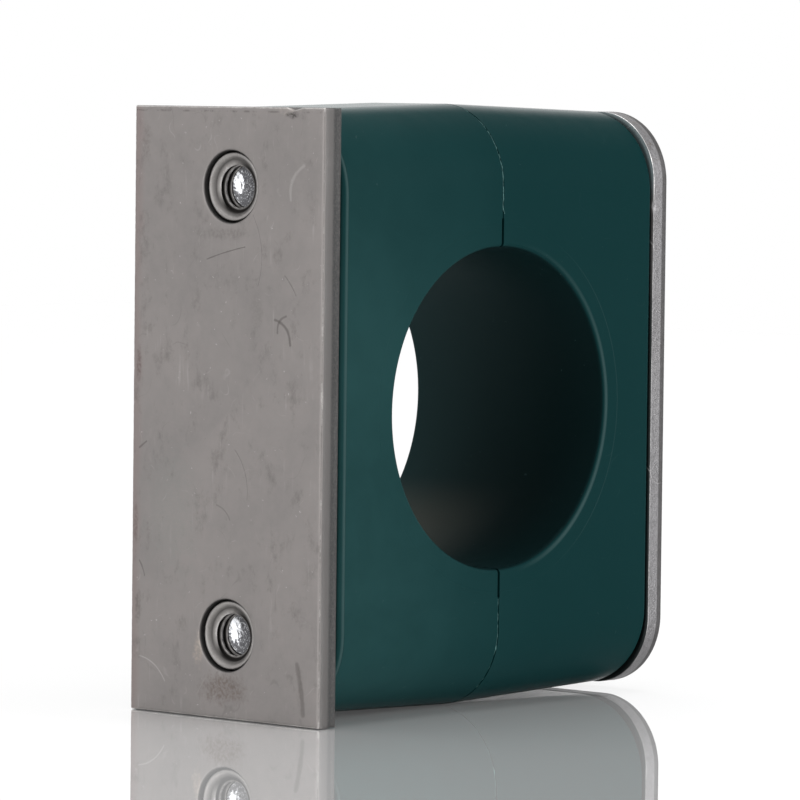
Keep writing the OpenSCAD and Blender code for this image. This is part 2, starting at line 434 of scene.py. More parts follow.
@dataclass(frozen=True)
class PickledSteel:
    """Bare hot-rolled flat bar, dull and warm grey, handled and scratched."""

    colour: Triple = (0.258, 0.240, 0.234)
    dark: Triple = (0.205, 0.195, 0.190)
    light: Triple = (0.315, 0.292, 0.282)
    blush: Triple = (0.268, 0.216, 0.210)
    bright: Triple = (0.70, 0.68, 0.66)
    sheared: Triple = (0.050, 0.051, 0.051)
    burnish: Triple = (0.104, 0.099, 0.097)
    soot: Triple = (0.09, 0.08, 0.075)
    roughness: float = 0.46
    metallic: float = 0.88
    blush_edge: float = 13.9 * MM
    end_z: float = 35.1 * MM
    scratches: tuple[Scratch, ...] = (
        Scratch((3.64, 17.54), (-2.37, 19.09), 0.1, 0.07, -0.6),
        Scratch((-11.47, 28.57), (-9.5, 24.66), -0.8, 0.22, 0.13),
        Scratch((-3.59, 22.8), (-4.48, 14.66), 0.95, 0.04, -0.5),
        Scratch((-8.68, 15.94), (-10.42, 13.71), 0.1, 0.08, -0.4),
        Scratch((-7.19, 10.85), (-9.57, 8.07), 0.7, 0.19, -0.55),
        Scratch((-8.9, 11.3), (-7.6, 9.4), -0.5, 0.15, -0.5),
        Scratch((-1.09, -4.41), (-3.06, -10.09), 0.7, 0.08, -0.28),
        Scratch((1.7, -10.94), (-0.39, -12.56), 0.3, 0.10, -0.3),
        Scratch((14.21, -4.84), (13.08, -4.08), 0.0, 0.11, -0.5),
        Scratch((14.06, -18.14), (13.22, -19.85), 0.1, 0.10, -0.5),
        Scratch((13.93, -29.34), (9.82, -31.97), 0.6, 0.09, 0.18),
        Scratch((-11.14, -28.58), (-12.15, -34.26), 0.15, 0.34, -0.42))
    stains: tuple[Stain, ...] = (
        Stain((4.3, -27.8), (1.0, 2.2), (0.43, 0.37, 0.32), 0.55),
        Stain((0.4, -32.2), (4.0, 1.9), (0.150, 0.120, 0.106), 0.7),
        Stain((-11.7, -31.6), (0.6, 3.0), (0.19, 0.175, 0.165), 0.4),
        Stain((-8.6, 35.0), (2.2, 0.8), (0.40, 0.36, 0.33), 0.4),
        Stain((9.0, -12.0), (5.0, 9.0), (0.245, 0.250, 0.238), 0.35),
        Stain((0.8, 20.6), (3.6, 0.8), (0.150, 0.138, 0.130), 0.4),
        Stain((-9.6, 34.35), (1.1, 0.45), (0.060, 0.055, 0.052), 0.85),
        Stain((-1.8, 23.5), (1.6, 1.2), (0.180, 0.168, 0.160), 0.4),
        Stain((-4.4, 12.0), (1.2, 2.6), (0.185, 0.172, 0.164), 0.35),
        Stain((14.4, 5.0), (0.45, 2.6), (0.130, 0.092, 0.086), 0.6),
        Stain((14.7, -14.0), (0.4, 3.4), (0.140, 0.100, 0.092), 0.55),
        Stain((14.2, -23.5), (0.5, 2.2), (0.120, 0.105, 0.098), 0.5),
        Stain((13.6, 31.0), (0.9, 2.4), (0.165, 0.140, 0.132), 0.4))

    def build(self, fx: Effects) -> Material:
        """Make the material.

        Args:
            fx: Shared effects.

        Returns:
            The finished material.
        """
        g = Finish("weld_plate_pickled_steel")
        place = g.spot
        broad, fine = g.use(fx.mottle, place, Scale=95.0)
        colour = g.tint(g.tint(self.dark, self.light, broad), self.colour, 0.62)
        colour = g.tint(colour, self.light, fine, 0.22)
        ragged = g.plus(g.axis(place, "Y"), g.mul(g.noise(place, 260.0, 4.0), 1.6 * MM))
        band = g.step(ragged, self.blush_edge + 0.5 * MM, self.blush_edge + 1.9 * MM)
        colour = g.tint(colour, self.blush, band, 0.6)
        for stain in self.stains:
            mask, = g.use(fx.blot, place, Centre=in_plane(stain.centre),
                          Size=in_plane(stain.size, 1.0))
            colour = g.tint(colour, stain.colour, mask, stain.strength)
        face = g.step(g.axis(place, "X"), 0.2 * MM, 0.1 * MM)
        relief: object = 0.0
        for scratch in self.scratches:
            line, = g.use(fx.mark, place, Start=in_plane(scratch.start),
                          End=in_plane(scratch.end), Bow=scratch.bow * MM,
                          Width=scratch.width * MM)
            mask = g.mul(line, face)
            tone = self.bright if scratch.shade > 0 else self.soot
            colour = g.tint(colour, tone, mask, abs(scratch.shade))
            relief = g.plus(relief, mask)
        hair, = g.use(fx.hairlines, place, Scale=210.0, Width=0.006, Cover=0.44)
        colour = g.tint(colour, self.bright, hair, 0.14)
        line, = g.use(fx.hairlines, g.vector("ADD", place, (0.2, 0.4, 0.1)), Scale=130.0,
                      Width=0.004, Cover=0.46)
        colour = g.tint(colour, self.soot, line, 0.22)
        rub, = g.use(fx.scuffs, place, Scale=1500.0)
        colour = g.tint(colour, self.bright, rub, 0.10)
        smudge = g.noise(g.vector("MULTIPLY", place, (1.0, 1.0, 0.7)), 330.0, 7.0, 0.74)
        colour = g.tint(colour, self.soot, g.step(smudge, 0.52, 0.74), 0.42)
        z = g.axis(place, "Z")
        under = g.near(z, self.end_z - 0.4 * MM, 0.17 * MM, 0.03 * MM)
        dashes = g.step(g.noise(place, 520.0, 4.0, 0.7), 0.48, 0.58)
        colour = g.tint(colour, self.soot, under, dashes, 0.5)
        dust, = g.use(fx.specks, place, Scale=1500.0, Size=0.11, Cover=0.07)
        colour = g.tint(colour, self.bright, dust, 0.4)
        pits, = g.use(fx.specks, g.vector("ADD", place, (0.31, 0.17, 0.05)), Scale=1250.0,
                      Size=0.20, Cover=0.16)
        colour = g.tint(colour, self.soot, pits, 0.45)
        wear = g.painted(WEAR)
        ends = g.step(g.absolute(z), self.end_z - 0.5 * MM, self.end_z)
        wear = g.plus(wear, g.mul(ends, wear, 0.35))
        worn = g.plus(g.mul(g.noise(place, 230.0, 4.0, 0.6), 1.3),
                      g.mul(g.noise(place, 1900.0, 3.0, 0.7), 0.7))
        bead = g.step(g.plus(worn, wear), 1.90, 2.30)
        cut = g.painted(RECESS)
        sheared = g.step(cut, 0.45, 0.95)
        colour = g.tint(colour, self.burnish, g.step(cut, 0.02, 0.25))
        streak = g.step(g.noise(place, 3300.0, 4.0, 0.7), 0.35, 0.85)
        colour = g.tint(colour, g.tint(self.sheared, self.burnish, streak), sheared)
        colour = g.tint(colour, self.bright, bead, 0.45)
        rough = g.plus(self.roughness, g.mul(broad, 0.08), g.mul(sheared, 0.10))
        g.fill(Base_Color=colour, Metallic=self.metallic,
               Roughness=g.less(rough, g.mul(bead, 0.22)))
        height = g.less(g.use(fx.grain, place, Scale=2600.0)[0], g.mul(relief, 0.7))
        g.bump(g.less(height, g.mul(pits, 0.6)), 0.35, 0.05)
        return g.material


@dataclass(frozen=True)
class TumbledSteel:
    """Cold-punched cover plate with a burnished, speckled cut edge, painted shade and a painted
    sky reflection on its inner edge, and a painted highlight at its top corner.
    """

    colour: Triple = (0.222, 0.218, 0.224)
    dark: Triple = (0.140, 0.137, 0.140)
    brown: Triple = (0.130, 0.110, 0.095)
    bright: Triple = (0.72, 0.71, 0.70)
    # The tone of the punched roll also serves as painted shade on the inner edge; the shadow tone
    # is darker painted shade low down.
    rolled: Triple = (0.060, 0.058, 0.058)
    shadow: Triple = (0.020, 0.025, 0.025)
    # Painted reflection of the sky on the top corner of the inner edge.
    blue: Triple = (0.100, 0.130, 0.135)
    roughness: float = 0.40
    inner_x: float = 59.0 * MM
    brown_centre: Pair = (-11.0, 31.0)
    brown_size: Pair = (6.0, 5.5)

    def build(self, fx: Effects) -> Material:
        """Make the material.

        Args:
            fx: Shared effects.

        Returns:
            The finished material.
        """
        g = Finish("cover_plate_punched_steel")
        place = g.spot
        broad, fine = g.use(fx.mottle, place, Scale=130.0)
        colour = g.tint(g.tint(self.dark, self.colour, broad), self.colour, 0.5)
        colour = g.tint(colour, self.dark, fine, 0.3)
        stain, = g.use(fx.blot, place, Centre=in_plane(self.brown_centre),
                       Size=in_plane(self.brown_size, 1.0))
        colour = g.tint(colour, self.brown, stain, g.step(fine, 0.35, 0.8), 0.7)
        cut = g.painted(RECESS)
        roll = g.less(1.0, g.mul(g.absolute(g.less(cut, 0.3)), 5.0), clamp=True)
        colour = g.tint(colour, self.rolled, roll, 0.9)
        flecks = g.step(g.noise(place, 2300.0, 4.0, 0.7), 0.42, 0.62)
        colour = g.tint(colour, self.dark, flecks, cut, 0.6)
        edge = g.step(g.axis(place, "X"), self.inner_x + 0.24 * MM, self.inner_x + 0.14 * MM)
        z = g.axis(place, "Z")
        # Painted reflection: the top corner of the inner edge takes a pale sky tone.
        corner = g.step(z, 23.5 * MM, 27.5 * MM)
        # Painted shade on the inner edge, in the gap to the body, darkest towards the bottom.
        hidden = g.tint(self.rolled, self.shadow, g.step(z, 18.0 * MM, 8.0 * MM))
        colour = g.tint(colour, g.tint(hidden, self.blue, corner), edge)
        hair, = g.use(fx.hairlines, place, Scale=110.0, Width=0.004, Cover=0.45)
        colour = g.tint(colour, self.bright, hair, 0.2)
        # Bright bead: abrasion along the edge, raised to a painted highlight at the top corner.
        bead = g.step(g.plus(g.noise(place, 420.0, 3.0, 0.7), g.painted(WEAR)), 1.15, 1.45)
        bead = g.mul(bead, g.plus(0.24, g.mul(corner, 0.66)))
        rough = g.plus(self.roughness, g.mul(broad, 0.1))
        # Less metal on the inner edge's top corner lets the painted sky reflection read lit.
        g.fill(Base_Color=g.tint(colour, self.bright, bead),
               Roughness=g.less(rough, g.mul(bead, 0.15)),
               Metallic=g.less(0.9, g.mul(edge, corner, 0.6)))
        g.bump(g.plus(g.use(fx.grain, place, Scale=2300.0)[0], g.mul(flecks, cut)), 0.45, 0.05)
        return g.material


@dataclass(frozen=True)
class TurnedSteel:
    """Machined steel, plain or zinc plated, with painted shade in the thread bottoms and hollows
    and painted glints on crests and edges.
    """

    name: str
    colour: Triple
    dark: Triple
    # Dark tone painted where shade falls: thread bottoms, hollows and the shaded part of the tip.
    roots: Triple
    bright: Triple
    roughness: float
    metallic: float

    def build(self, fx: Effects) -> Material:
        """Make the material.

        Args:
            fx: Shared effects.

        Returns:
            The finished material.
        """
        g = Finish(self.name)
        place = g.spot
        broad, fine = g.use(fx.mottle, place, Scale=420.0)
        colour = g.tint(self.colour, self.dark, broad, 0.5)
        colour = g.tint(colour, self.bright, fine, 0.25)
        hair, = g.use(fx.hairlines, place, Scale=380.0, Width=0.01, Cover=0.5)
        colour = g.tint(colour, self.bright, hair, 0.25)
        # Painted shade in thread bottoms, in the nut's countersink and beside its collar, and on
        # the bolt tip.
        deep = g.step(g.painted(RECESS), 0.1, 0.9)
        # Bright bead: abrasion on edges, and painted glints on thread crests, the collar lip and
        # the tip.
        bead = g.step(g.plus(g.noise(place, 2200.0, 2.0), g.painted(WEAR)), 1.1, 1.5)
        colour = g.tint(g.tint(colour, self.roots, deep), self.bright, bead, 0.8)
        g.fill(Base_Color=colour, Metallic=self.metallic,
               Roughness=g.plus(self.roughness, g.mul(fine, 0.1), g.mul(deep, 0.25)))
        g.bump(g.use(fx.grain, place, Scale=3600.0)[0], 0.3, 0.04)
        return g.material


@dataclass(frozen=True)
class MouldedPlastic:
    """Dark teal moulded plastic with a satin skin and the witness ring of the bore's insert, with
    painted shade across the sides, painted light, shade and glow in the bore, and painted
    highlights on the lip and rim.
    """

    name: str
    colour: Triple = (0.0150, 0.0555, 0.0565)
    dark: Triple = (0.0105, 0.0430, 0.0440)
    shaded: Triple = (0.0026, 0.0270, 0.0285)
    # Bore colours are painted light and shade, with a painted glow low down.
    bore: Triple = (0.0180, 0.0380, 0.0395)
    bore_dark: Triple = (0.0042, 0.0160, 0.0170)
    bore_glow: Triple = (0.0800, 0.0900, 0.0800)
    # Pale tone of real dust, and of the painted highlights on the lip and rim.
    dusty: Triple = (0.050, 0.095, 0.095)
    roughness: float = 0.45
    specular: float = 0.02
    sheen: float = 0.8
    sheen_roughness: float = 0.22
    ring_r: float = 21.7 * MM
    ring_w: float = 0.10 * MM
    bore_x: float = 31.0 * MM
    bore_r: float = 19.0 * MM
    lip_r: float = 0.6 * MM
    rim_x: float = 27.4 * MM
    side_y: float = 14.9 * MM

    def build(self, fx: Effects) -> Material:
        """Make the material.

        Args:
            fx: Shared effects.

        Returns:
            The finished material.
        """
        g = Finish(self.name)
        place = g.spot
        x, y, z = (g.axis(place, name) for name in "XYZ")
        broad, fine = g.use(fx.mottle, place, Scale=70.0)
        colour = g.tint(g.tint(self.dark, self.colour, broad), self.colour, fine, 0.3)
        # Painted shade: darker towards the cover plate side and towards the top.
        colour = g.tint(colour, self.shaded, g.step(x, 4.0 * MM, 40.0 * MM, 0.0, 0.9))
        colour = g.tint(colour, self.shaded, g.step(z, 4.0 * MM, 30.0 * MM, 0.0, 0.5))
        centre = g.vector("SUBTRACT", place, (self.bore_x, 0.0, 0.0))
        radius = g.vector("LENGTH", g.vector("MULTIPLY", centre, (1.0, 0.0, 1.0)))
        inside = g.step(radius, self.bore_r + 0.25 * MM, self.bore_r + 0.05 * MM)
        # Painted light and shade in the bore: lighter towards the far opening, darker towards the
        # front, and a painted glow low down away from the front.
        deep = g.tint(self.bore, self.bore_dark, g.step(y, 10.0 * MM, -11.0 * MM))
        deep = g.tint(deep, self.bore_glow, g.step(z, -9.5 * MM, -16.0 * MM),
                      g.step(y, -6.0 * MM, 8.0 * MM))
        colour = g.tint(colour, deep, inside)
        # Painted highlights: a bright line on the lit part of the bore's lip and along the rounded
        # rim beside the weld plate.
        lip = g.mul(g.near(radius, self.bore_r + self.lip_r, 0.40 * MM, 0.06 * MM),
                    g.step(x, 33.0 * MM, 45.0 * MM), g.step(z, 19.0 * MM, -1.0 * MM, 0.45, 1.5))
        away = g.absolute(g.less(x, self.bore_x))
        rim = g.mul(g.near(away, self.rim_x, 0.28 * MM, 0.05 * MM),
                    g.step(x, self.bore_x, 0.5 * self.bore_x, 0.0, 1.7))
        colour = g.tint(colour, self.dusty, g.math("MAXIMUM", lip, rim), 0.42)
        side = g.step(g.absolute(y), self.side_y - 0.2 * MM, self.side_y)
        ring = g.mul(g.near(radius, self.ring_r, self.ring_w, 0.0), side)
        colour = g.tint(colour, self.dusty, ring, g.step(x, 40.0 * MM, 50.0 * MM, 0.0, 0.22))
        hair, = g.use(fx.hairlines, place, Scale=160.0, Width=0.005, Cover=0.42)
        dust, = g.use(fx.specks, place, Scale=1050.0, Size=0.13, Cover=0.07)
        colour = g.tint(colour, self.dusty, g.math("MAXIMUM", g.mul(hair, 0.3), dust), 0.4)
        facing = g.add("LayerWeight", {"Blend": 0.5}).outputs["Facing"]
        sheen = g.mul(g.step(facing, 0.68, 1.0, 0.0, self.sheen), g.less(1.0, g.mul(inside, 0.85)))
        g.fill(Base_Color=colour, Specular_IOR_Level=self.specular, Coat_Weight=sheen,
               Coat_Roughness=self.sheen_roughness,
               Roughness=g.plus(self.roughness, g.mul(fine, 0.06), g.mul(hair, 0.12)))
        skin, = g.use(fx.grain, place, Scale=2400.0)
        g.bump(g.less(g.mul(skin, 0.5), g.plus(g.mul(ring, 1.2), g.mul(hair, 0.2))), 0.25, 0.05)
        return g.material


@dataclass(frozen=True)
class TornPlastic:
    """Pale torn skin of the moulding flash."""

    colour: Triple = (0.120, 0.270, 0.262)
    dark: Triple = (0.010, 0.050, 0.050)
    roughness: float = 0.6
    specular: float = 0.3

    def build(self, fx: Effects) -> Material:
        """Make the material.

        Args:
            fx: Shared effects.

        Returns:
            The finished material.
        """
        g = Finish("seam_flash_torn_plastic")
        broad, fine = g.use(fx.mottle, g.spot, Scale=330.0)
        g.fill(Base_Color=g.tint(self.dark, self.colour, fine), Specular_IOR_Level=self.specular,
               Roughness=g.plus(self.roughness, g.mul(broad, 0.2)))
        return g.material


class Skin:
    """Points, faces and painted amounts of one piece's mesh while it is made."""

    def __init__(self) -> None:
        """Start empty."""
        self.points: list[Triple] = []
        self.faces: list[tuple[int, ...]] = []
        self.wear: list[float] = []
        self.recess: list[float] = []

    def ring(self, points: list[Triple], wear: float, recess: float) -> list[int]:
        """Add one ring of points.

        Args:
            points: The ring's points in metres.
            wear: How much abrasion and painted glint the ring gets, from 0 to 1.
            recess: How sheared the ring is, and how much painted shade it gets, from 0 to 1.

        Returns:
            The new points' numbers.
        """
        first = len(self.points)
        self.points.extend(points)
        self.wear.extend([wear] * len(points))
        self.recess.extend([recess] * len(points))
        return list(range(first, first + len(points)))

    def band(self, a: list[int], b: list[int]) -> None:
        """Join two rings of the same count with four-sided faces."""
        following = zip(a, a[1:] + a[:1], b[1:] + b[:1], b)
        self.faces.extend(following)

    def fan(self, ring: list[int], pole: Triple) -> None:
        """Close a ring with a fan around a pole point."""
        tip = self.ring([pole], 0.0, 0.0)[0]
        self.faces.extend((a, b, tip) for a, b in zip(ring, ring[1:] + ring[:1]))

    def flat_fill(self, outer: list[int], holes: list[list[int]]) -> None:
        """Fill a flat face in the Y-Z plane between an outline and round holes.

        Args:
            outer: Ring of the outline.
            holes: Rings of the holes.
        """
        numbers = list(outer)
        loops = [range(len(outer))]
        for hole in holes:
            loops.append(range(len(numbers), len(numbers) + len(hole)))
            numbers.extend(hole)
        flat = [Vector(self.points[n][1:]) for n in numbers]
        edges = [(loop[i], loop[(i + 1) % len(loop)]) for loop in loops for i in range(len(loop))]
        _, _, triangles, origins, _, _ = delaunay_2d_cdt(flat, edges, [], 1, 1e-7)
        for triangle in triangles:
            ids = [origins[k][0] for k in triangle]
            if not any(all(k in loop for k in ids) for loop in loops[1:]):
                self.faces.append(tuple(numbers[k] for k in ids))

    def make(self, name: str, smooth_angle: float = 40.0) -> Piece:
        """Turn the skin into an object with outward faces and smooth shading.

        Args:
            name: Name of the object.
            smooth_angle: Edges sharper than this many degrees stay crisp.

        Returns:
            The new object, linked to the scene.
        """
        mesh = bpy.data.meshes.new(name)
        mesh.from_pydata(self.points, [], self.faces)
        for key, values in ((WEAR, self.wear), (RECESS, self.recess)):
            mesh.attributes.new(key, "FLOAT", "POINT").data.foreach_set("value", values)
        mesh.validate()
        shell = bmesh.new()
        shell.from_mesh(mesh)
        bmesh.ops.recalc_face_normals(shell, faces=shell.faces)
        shell.to_mesh(mesh)
        shell.free()
        mesh.shade_smooth()
        mesh.set_sharp_from_angle(angle=math.radians(smooth_angle))
        return put_in_scene(bpy.data.objects.new(name, mesh))


def put_in_scene(piece: Piece) -> Piece:
    """Link an object to the scene and return it."""
    bpy.context.scene.collection.objects.link(piece)
    return piece


def jitter(point: Triple, scale: float, seed: float) -> float:
    """Return repeatable noise from -1 to 1 at a point, for bumps of so many metres."""
    return noise.noise(Vector(point) / scale + Vector((seed, seed * 1.7, -seed)))


def dress(piece: Piece, material: Material) -> None:
    """Give a piece one material in its only slot."""
    piece.data.materials.clear()
    piece.data.materials.append(material)


@dataclass
class SeamFlash:
    """Ragged flash that the mould left in the groove round the parting face of the inner half."""

    node: str = "base_half"
    corner_r: float = 9.7 * MM
    relief_z: float = 22.6 * MM
    groove: float = 0.12 * MM
    spacing: float = 0.14 * MM
    burr_points: float = 7.0
    runs: tuple[tuple[str, float, float], ...] = (("upper", 1.0, -0.35), ("lower", -1.0, 0.30))

    def path(self, sz: float) -> list[tuple[float, float, float, float]]:
        """Return points of one C-shaped run as Y, Z and the outward normal.

        Args:
            sz: 1 for the run over the upper bolt, -1 for the lower one.

        Returns:
            The points, from the near side face over the end to the far side face.
        """
        low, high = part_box(self.node)
        r = self.corner_r
        flat_y, flat_z = high.y - r, high.z - r
        points = [(low.y, self.relief_z + i * self.spacing, -1.0, 0.0)
                  for i in range(int((flat_z - self.relief_z) / self.spacing))]
        arc = int(r * math.pi / 2.0 / self.spacing)
        for i in range(arc + 1):
            ny, nz = -math.cos(math.pi / 2.0 * i / arc), math.sin(math.pi / 2.0 * i / arc)
            points.append((-flat_y + r * ny, flat_z + r * nz, ny, nz))
        far = [(-y, z, -ny, nz) for y, z, ny, nz in reversed(points)]
        count = int(2.0 * flat_y / self.spacing)
        top = [(-flat_y + 2.0 * flat_y * i / count, high.z, 0.0, 1.0) for i in range(1, count)]
        return [(y, sz * z, ny, sz * nz) for y, z, ny, nz in points + top + far]

    def build(self, fx: Effects) -> None:
        """Make both runs and put them on the inner half.

        Args:
            fx: Shared effects.
        """
        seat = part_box(self.node)[1].x
        material = TornPlastic().build(fx)
        foot = self.groove + 0.02 * MM
        for name, sz, threshold in self.runs:
            skin = Skin()
            rings = []
            for k, (y, z, ny, nz) in enumerate(self.path(sz)):
                ragged = jitter((0.0, y, z), 0.8 * MM, 3.0)
                ragged += 0.6 * jitter((0.0, y, z), 0.3 * MM, 8.0)
                inset = (0.012 + 0.05 * abs(ragged)) * MM if ragged > threshold else 0.105 * MM
                middle = seat + 0.15 * MM * jitter((0.1, y, z), 0.9 * MM, 5.0)
                middle += 0.05 * MM * jitter((0.2, y, z), 0.35 * MM, 6.0)
                width = (0.04 + 0.08 * abs(ragged)) * MM
                burr = max(0.0, 1.0 - k / self.burr_points) if sz > 0.0 else 0.0
                middle += 0.26 * MM * burr
                inset -= 0.09 * MM * burr
                section = ((-width, foot), (-0.7 * width, inset), (0.7 * width, inset),
                           (width, foot))
                rings.append(skin.ring([(middle + w, y - ny * d, z - nz * d)
                                        for w, d in section], 0.0, 0.0))
            skin.faces.append(tuple(reversed(rings[0])))
            for a, b in zip(rings, rings[1:]):
                skin.band(a, b)
            skin.faces.append(tuple(rings[-1]))
            piece = skin.make(f"seam_flash_{name}", 60.0)
            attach(piece, Body.BASE.value)
            dress(piece, material)
            LOG.info("seam_flash_%s: %d faces", name, len(piece.data.polygons))


@dataclass(frozen=True)
class EdgeStep:
    """One ring of a plate's edge: how far in, how deep, how much abrasion, how sheared and how
    rough.
    """

    inset: float
    depth: float
    wear: float = 0.0
    sheared: float = 0.0
    rough: float = 0.0


def steps(*rows: tuple[float, ...]) -> tuple[EdgeStep, ...]:
    """Return edge steps from rows of inset, depth, wear, sheared and rough, in millimetres."""
    full = [(*row, 0.0, 0.0, 0.0)[:5] for row in rows]
    return tuple(EdgeStep(i * MM, d * MM, w, s, r * MM) for i, d, w, s, r in full)


@dataclass
class SteelPlate:
    """A flat steel plate with two punched holes and one nick, drawn from its rings."""

    node: str
    name: str
    body: Body
    slot: str
    corner_r: float
    hole_r: float
    edge: tuple[EdgeStep, ...]
    rim: tuple[EdgeStep, ...]
    nick_at: Pair
    nick_size: float
    nick_inset: float
    nick_depth: float
    bolt_spacing: float = 52.0 * MM
    spacing: float = 0.3 * MM
    hole_points: int = 96
    square_r: float = 2.0 * MM

    def __post_init__(self) -> None:
        """Take the plate's place from the frame."""
        self.low, self.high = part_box(self.node)
        self.centre = (self.low + self.high) / 2.0
        self.half_y = (self.high.y - self.low.y) / 2.0
        self.half_z = (self.high.z - self.low.z) / 2.0

    def outline(self) -> list[tuple[float, float, float, float]]:
        """Return points round the plate as Y, Z and the outward normal.

        Returns:
            Evenly spaced points, counter-clockwise seen from +X.
        """
        points = []
        r = self.corner_r
        straight_y, straight_z = self.half_y - r, self.half_z - r
        turns = ((1, 1, 0.0), (-1, 1, 90.0), (-1, -1, 180.0), (1, -1, 270.0))
        arc = max(2, int(round(r * math.pi / 2.0 / self.spacing)))
        for k, (sy, sz, start) in enumerate(turns):
            for i in range(arc + 1):
                angle = math.radians(start + 90.0 * i / arc)
                ny, nz = math.cos(angle), math.sin(angle)
                points.append((sy * straight_y + r * ny, sz * straight_z + r * nz, ny, nz))
            length = 2.0 * (straight_y if k % 2 == 0 else straight_z)
            count = int(length / self.spacing)
            y, z, ny, nz = points[-1]
            for i in range(1, count):
                along = length * i / count
                points.append((y - nz * along, z + ny * along, ny, nz))
        return points

    def moved(self, y: float, z: float, ny: float, nz: float, inset: float) -> Pair:
        """Move an outline point inward, keeping sharp corners in order.

        Args:
            y: Place across the plate, from its centre.
            z: Place up the plate, from its centre.
            ny: Y of the outward normal.
            nz: Z of the outward normal.
            inset: How far the point moves, in metres.

        Returns:
            The moved point's Y and Z.
        """
        if self.corner_r > self.square_r:
            return y - ny * inset, z - nz * inset
        return y * (1.0 - inset / self.half_y), z * (1.0 - inset / self.half_z)

    def nick(self, y: float, z: float, depth: float) -> float:
        """Return the extra inset of the nick at an outline point.

        Args:
            y: Place across the plate, from its centre.
            z: Place up the plate, from its centre.
            depth: How deep below the first face the point lies.

        Returns:
            The inset in metres.
        """
        away = math.hypot(y + self.centre.y - self.nick_at[0], z + self.centre.z - self.nick_at[1])
        across = max(0.0, 1.0 - away / self.nick_size)
        return self.nick_inset * across * max(0.0, 1.0 - depth / self.nick_depth)

    def edge_ring(self, skin: Skin, k: int, row: EdgeStep) -> list[int]:
        """Add one ring of the plate's edge to a skin.

        Args:
            skin: Mesh in the making.
            k: Number of the ring.
            row: Its edge step.

        Returns:
            The new points' numbers.
        """
        ring = []
        for y, z, ny, nz in self.outline():
            inset = row.inset
            if row.rough:
                seed = (row.depth * 0.6, y, z)
                inset += row.rough * abs(jitter(seed, 0.5 * MM, 3.1 + k * 0.01))
            inset += self.nick(y, z, row.depth)
            py, pz = self.moved(y, z, ny, nz, inset)
            ring.append((self.low.x + row.depth, self.centre.y + py, self.centre.z + pz))
        return skin.ring(ring, row.wear, row.sheared)

    def hole_ring(self, skin: Skin, cz: float, row: EdgeStep) -> list[int]:
        """Add one ring of a hole to a skin.

        Args:
            skin: Mesh in the making.
            cz: Height of the hole's axis.
            row: Its edge step.

        Returns:
            The new points' numbers.
        """
        ring = []
        for i in range(self.hole_points):
            angle = 2.0 * math.pi * i / self.hole_points
            cy, sy = math.cos(angle), math.sin(angle)
            at = (row.depth, self.hole_r * cy, cz + self.hole_r * sy)
            r = self.hole_r + row.inset + row.rough * abs(jitter(at, 0.6 * MM, 5.0))
            ring.append((self.low.x + row.depth, r * cy, cz + r * sy))
        return skin.ring(ring, row.wear, row.sheared)

    def build(self) -> Piece:
        """Make the plate, put it on its body and let it stand for its node.

        Returns:
            The plate.
        """
        skin = Skin()
        edge = [self.edge_ring(skin, k, row) for k, row in enumerate(self.edge)]
        holes = [[self.hole_ring(skin, s * self.bolt_spacing / 2.0, row) for row in self.rim]
                 for s in (-1, 1)]
        for rings in (edge, *holes):
            for a, b in zip(rings, rings[1:]):
                skin.band(a, b)
        for end in (0, -1):
            skin.flat_fill(edge[end], [rings[end] for rings in holes])
        piece = skin.make(self.name)
        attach(piece, self.body.value)
        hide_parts(self.node)
        LOG.info("%s: %d faces", self.name, len(piece.data.polygons))
        return piece


def weld_plate() -> SteelPlate:
    """Return the weld plate with its sheared sides and abraded outer edge."""
    return SteelPlate(
        node="weld_plate", name="weld_plate_strip", body=Body.BASE, slot="weld_plate_steel",
        corner_r=0.12 * MM, hole_r=4.2 * MM, nick_at=(-10.0 * MM, 35.2 * MM),
        nick_size=1.2 * MM, nick_inset=0.42 * MM, nick_depth=0.8 * MM,
        edge=steps((1.4, 0.0), (0.42, 0.0, 0.1), (0.22, 0.02, 0.6, 0.0, 0.05),
                   (0.09, 0.09, 1.0, 0.0, 0.05), (0.02, 0.20, 0.7, 0.1, 0.04),
                   (0.0, 0.32, 0.0, 0.3, 0.01), (0.0, 0.8, 0.0, 0.45, 0.02),
                   (0.0, 1.35, 0.0, 0.5, 0.03), (0.03, 1.70, 0.0, 0.8, 0.06),
                   (0.06, 2.0, 0.0, 1.0, 0.08), (0.07, 2.3, 0.0, 1.0, 0.08),
                   (0.05, 2.55, 0.0, 0.95, 0.06), (0.02, 2.75, 0.1, 0.8, 0.04),
                   (0.10, 2.9, 0.5, 0.6, 0.04), (0.25, 2.98, 0.3, 0.4, 0.03),
                   (0.42, 3.0, 0.1), (1.4, 3.0)),
        rim=steps((0.9, 0.0), (0.3, 0.0, 0.1), (0.12, 0.03, 0.35, 0.1, 0.02),
                  (0.02, 0.12, 0.35, 0.3, 0.02), (0.0, 0.3, 0.0, 0.7), (0.0, 1.5, 0.0, 1.0),
                  (0.0, 2.7, 0.0, 1.0), (0.12, 2.96, 0.3, 0.5), (0.3, 3.0), (0.9, 3.0)))


